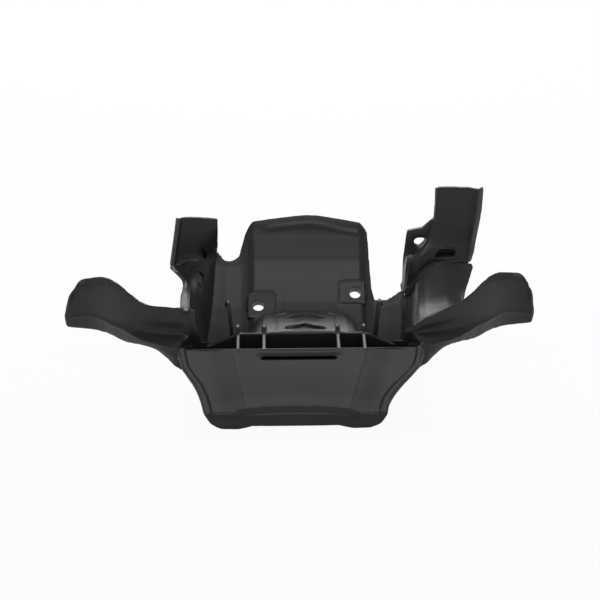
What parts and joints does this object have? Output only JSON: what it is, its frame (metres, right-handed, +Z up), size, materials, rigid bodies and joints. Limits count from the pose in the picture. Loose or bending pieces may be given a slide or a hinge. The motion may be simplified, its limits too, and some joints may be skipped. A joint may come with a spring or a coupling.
{
  "type": "motorcycle skid plate",
  "caption": "Moulded plastic skid plate with a curved bash skin, sloping apron, swept arms, side towers and tilted bolt holes.",
  "frame": {"origin": "upper face of the skin on the axis of the left bolt hole", "axes": "+X to the right across the plate, +Y from the apron towards the tongue, +Z up, with the bash skin's underside facing down"},
  "size_m": [0.4524, 0.1957, 0.1706],
  "materials": {
    "moulding": "satin black, fine moulded grain"
  },
  "bodies": {
    "root": {"skid_plate": "moulding"}
  },
  "joints": []
}
